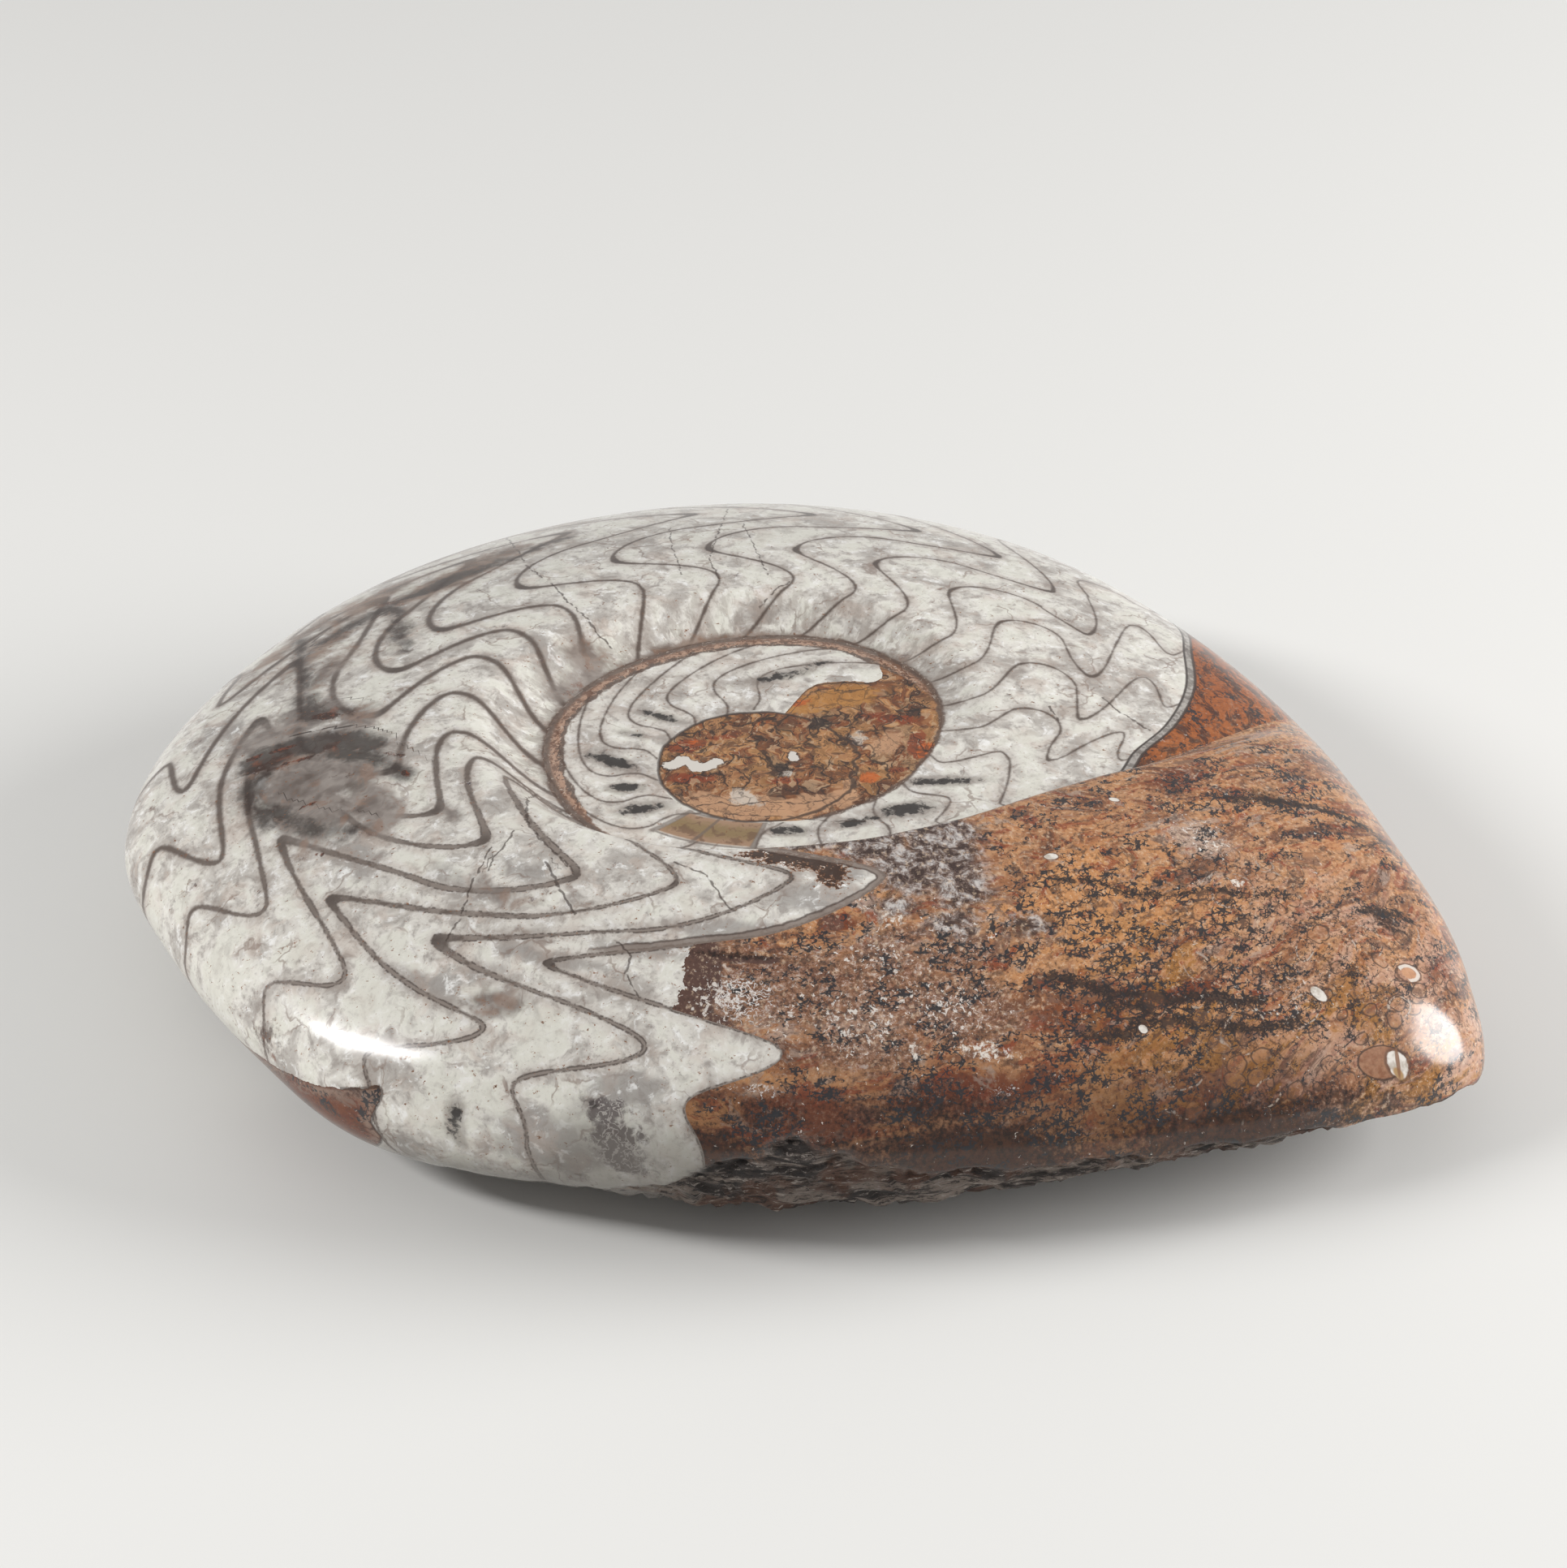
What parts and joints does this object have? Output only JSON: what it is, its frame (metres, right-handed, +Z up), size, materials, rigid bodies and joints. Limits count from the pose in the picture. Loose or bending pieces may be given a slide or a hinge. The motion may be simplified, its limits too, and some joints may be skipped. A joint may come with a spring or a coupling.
{
  "type": "goniatite fossil",
  "caption": "Ground and polished fossil shell: white coiled chambers with wavy sutures round a brown core, ending in brown limestone; it lies flat on its underside.",
  "frame": {"origin": "foot of the coil's axis on the plane that the fossil rests on", "axes": "+Z up along the coil's axis; +X along the length, towards the side with the pointed corner; +Y towards the rounded back"},
  "size_m": [0.2338, 0.199, 0.0535],
  "materials": {
    "fossil_stone": "polished above, rough below"
  },
  "bodies": {
    "root": {"goniatite_fossil": "fossil_stone"}
  },
  "joints": []
}
